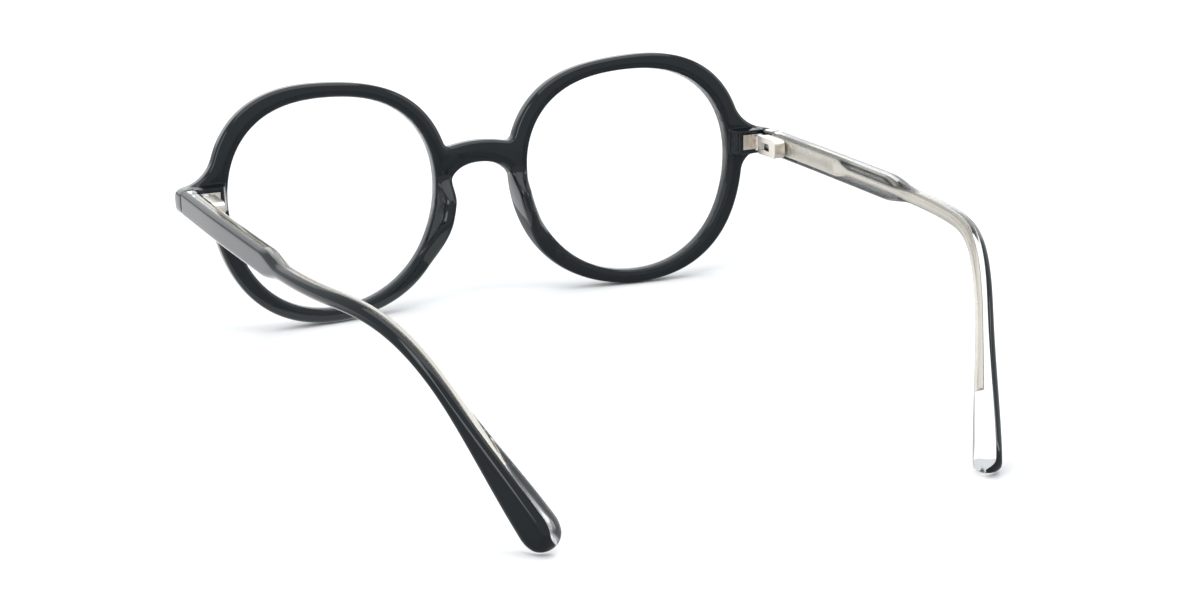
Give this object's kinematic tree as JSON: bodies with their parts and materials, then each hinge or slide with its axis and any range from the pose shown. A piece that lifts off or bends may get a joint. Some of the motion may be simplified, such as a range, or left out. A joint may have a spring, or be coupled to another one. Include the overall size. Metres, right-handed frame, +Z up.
{
  "type": "eyeglasses",
  "caption": "Round acetate eyeglasses with thick glossy black rims, clear lenses, folding temples with a clear inner layer and sprung hinges.",
  "frame": {"origin": "centre of the glasses on the surface they stand on, open, on both rims and both temple tips", "axes": "+Z up, -Y towards what the wearer looks at, +X to the wearer's left"},
  "size_m": [0.1392, 0.1466, 0.0518],
  "materials": {
    "black_acetate": "polished black cellulose acetate",
    "clear_acetate": "polished clear cellulose acetate",
    "demo_lens": "clear plastic demonstration lens",
    "nickel_silver": "satin nickel silver",
    "spring_steel": "plain steel"
  },
  "bodies": {
    "front": {"front_frame": "black_acetate", "lens_left": "demo_lens", "lens_right": "demo_lens", "nose_pad_left": "black_acetate", "nose_pad_right": "black_acetate", "front_hinge_left": "nickel_silver", "front_hinge_right": "nickel_silver", "hinge_screw_left": "spring_steel", "hinge_screw_right": "spring_steel"},
    "slider_left": {"spring_slider_left": "nickel_silver"},
    "slider_right": {"spring_slider_right": "nickel_silver"},
    "temple_left": {"temple_outer_left": "black_acetate", "temple_inner_left": "clear_acetate", "core_wire_left": "nickel_silver", "spring_box_left": "nickel_silver", "lock_clip_left": "spring_steel", "hinge_spring_left": "spring_steel"},
    "temple_right": {"temple_outer_right": "black_acetate", "temple_inner_right": "clear_acetate", "core_wire_right": "nickel_silver", "spring_box_right": "nickel_silver", "lock_clip_right": "spring_steel", "hinge_spring_right": "spring_steel"}
  },
  "joints": [
    {"name": "fold_left", "type": "hinge", "parent": "front", "child": "slider_left", "pos_m": [0.06455, -0.05934, 0.03082], "axis": [0, -0.0393, 0.9992], "range_deg": [0, 82]},
    {"name": "draw_left", "type": "slide", "parent": "slider_left", "child": "temple_left", "axis": [0, 0.9992, 0.0393], "range_m": [0, 0.0011], "stiffness_N_per_m": 2500, "springref_m": -0.0004, "deforming": ["hinge_spring_left"]},
    {"name": "fold_right", "type": "hinge", "parent": "front", "child": "slider_right", "pos_m": [-0.06455, -0.05934, 0.03082], "axis": [0, 0.0393, -0.9992], "range_deg": [0, 70]},
    {"name": "draw_right", "type": "slide", "parent": "slider_right", "child": "temple_right", "axis": [0, 0.9992, 0.0393], "range_m": [0, 0.0011], "stiffness_N_per_m": 2500, "springref_m": -0.0004, "deforming": ["hinge_spring_right"]}
  ]
}
